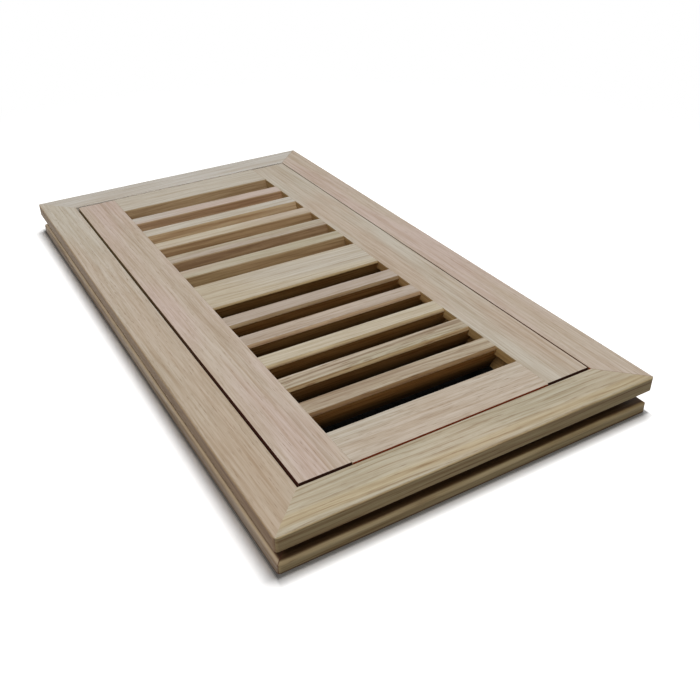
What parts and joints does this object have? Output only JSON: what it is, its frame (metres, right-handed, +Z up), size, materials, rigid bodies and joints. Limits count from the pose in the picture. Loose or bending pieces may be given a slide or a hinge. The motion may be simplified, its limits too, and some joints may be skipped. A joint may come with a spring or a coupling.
{
  "type": "floor register",
  "caption": "Flush-mount oak floor register: mitred frame grooved round its edge, drop-in vent with slats leaning away from a center rail, and a steel damper beneath.",
  "frame": {"origin": "centre of the frame's underside, which lies on the subfloor over the duct", "axes": "+Z up out of the floor, +Y along the register towards its back rail, +X across it to the right"},
  "size_m": [0.184, 0.337, 0.047],
  "materials": {
    "oak_frame": "bare sanded oak",
    "oak_vent": "bare sanded oak",
    "oak_slat": "bare sanded oak",
    "black_steel": "matt black paint",
    "zinc_steel": "zinc plated"
  },
  "bodies": {
    "register": {"frame_front_rail": "oak_frame", "frame_back_rail": "oak_frame", "frame_left_rail": "oak_frame", "frame_right_rail": "oak_frame", "vent_left_stile": "oak_vent", "vent_right_stile": "oak_vent", "vent_front_rail": "oak_vent", "vent_back_rail": "oak_vent", "vent_center_rail": "oak_vent", "front_slat_1": "oak_slat", "front_slat_2": "oak_slat", "front_slat_3": "oak_slat", "front_slat_4": "oak_slat", "front_slat_5": "oak_slat", "back_slat_1": "oak_slat", "back_slat_2": "oak_slat", "back_slat_3": "oak_slat", "back_slat_4": "oak_slat", "back_slat_5": "oak_slat", "damper_tray": "black_steel", "tray_screws": "zinc_steel"},
    "blade_1": {"damper_blade_1": "black_steel", "damper_rod_1": "zinc_steel"},
    "blade_2": {"damper_blade_2": "black_steel", "damper_rod_2": "zinc_steel"},
    "blade_3": {"damper_blade_3": "black_steel", "damper_rod_3": "zinc_steel"},
    "blade_4": {"damper_blade_4": "black_steel", "damper_rod_4": "zinc_steel"},
    "link": {"link_bar": "black_steel", "link_pins": "zinc_steel"}
  },
  "joints": [
    {"name": "blade_1_turn", "type": "hinge", "parent": "register", "child": "blade_1", "pos_m": [-0.03445, 0, -0.014], "axis": [0, 1, 0], "range_deg": [0, 87]},
    {"name": "blade_2_turn", "type": "hinge", "parent": "register", "child": "blade_2", "pos_m": [-0.01125, 0, -0.014], "axis": [0, 1, 0], "range_deg": [0, 87]},
    {"name": "blade_3_turn", "type": "hinge", "parent": "register", "child": "blade_3", "pos_m": [0.01195, 0, -0.014], "axis": [0, 1, 0], "range_deg": [0, 87]},
    {"name": "blade_4_turn", "type": "hinge", "parent": "register", "child": "blade_4", "pos_m": [0.03515, 0, -0.014], "axis": [0, 1, 0], "range_deg": [0, 87]},
    {"name": "link_swing", "type": "hinge", "parent": "blade_2", "child": "link", "pos_m": [-0.01676, -0.1214, -0.0082], "axis": [0, 1, 0], "range_deg": [-87, 0]}
  ],
  "couplings": [
    {"joint": "blade_1_turn", "follows": "blade_2_turn", "ratio": 1},
    {"joint": "blade_3_turn", "follows": "blade_2_turn", "ratio": 1},
    {"joint": "blade_4_turn", "follows": "blade_2_turn", "ratio": 1},
    {"joint": "link_swing", "follows": "blade_2_turn", "ratio": -1}
  ]
}
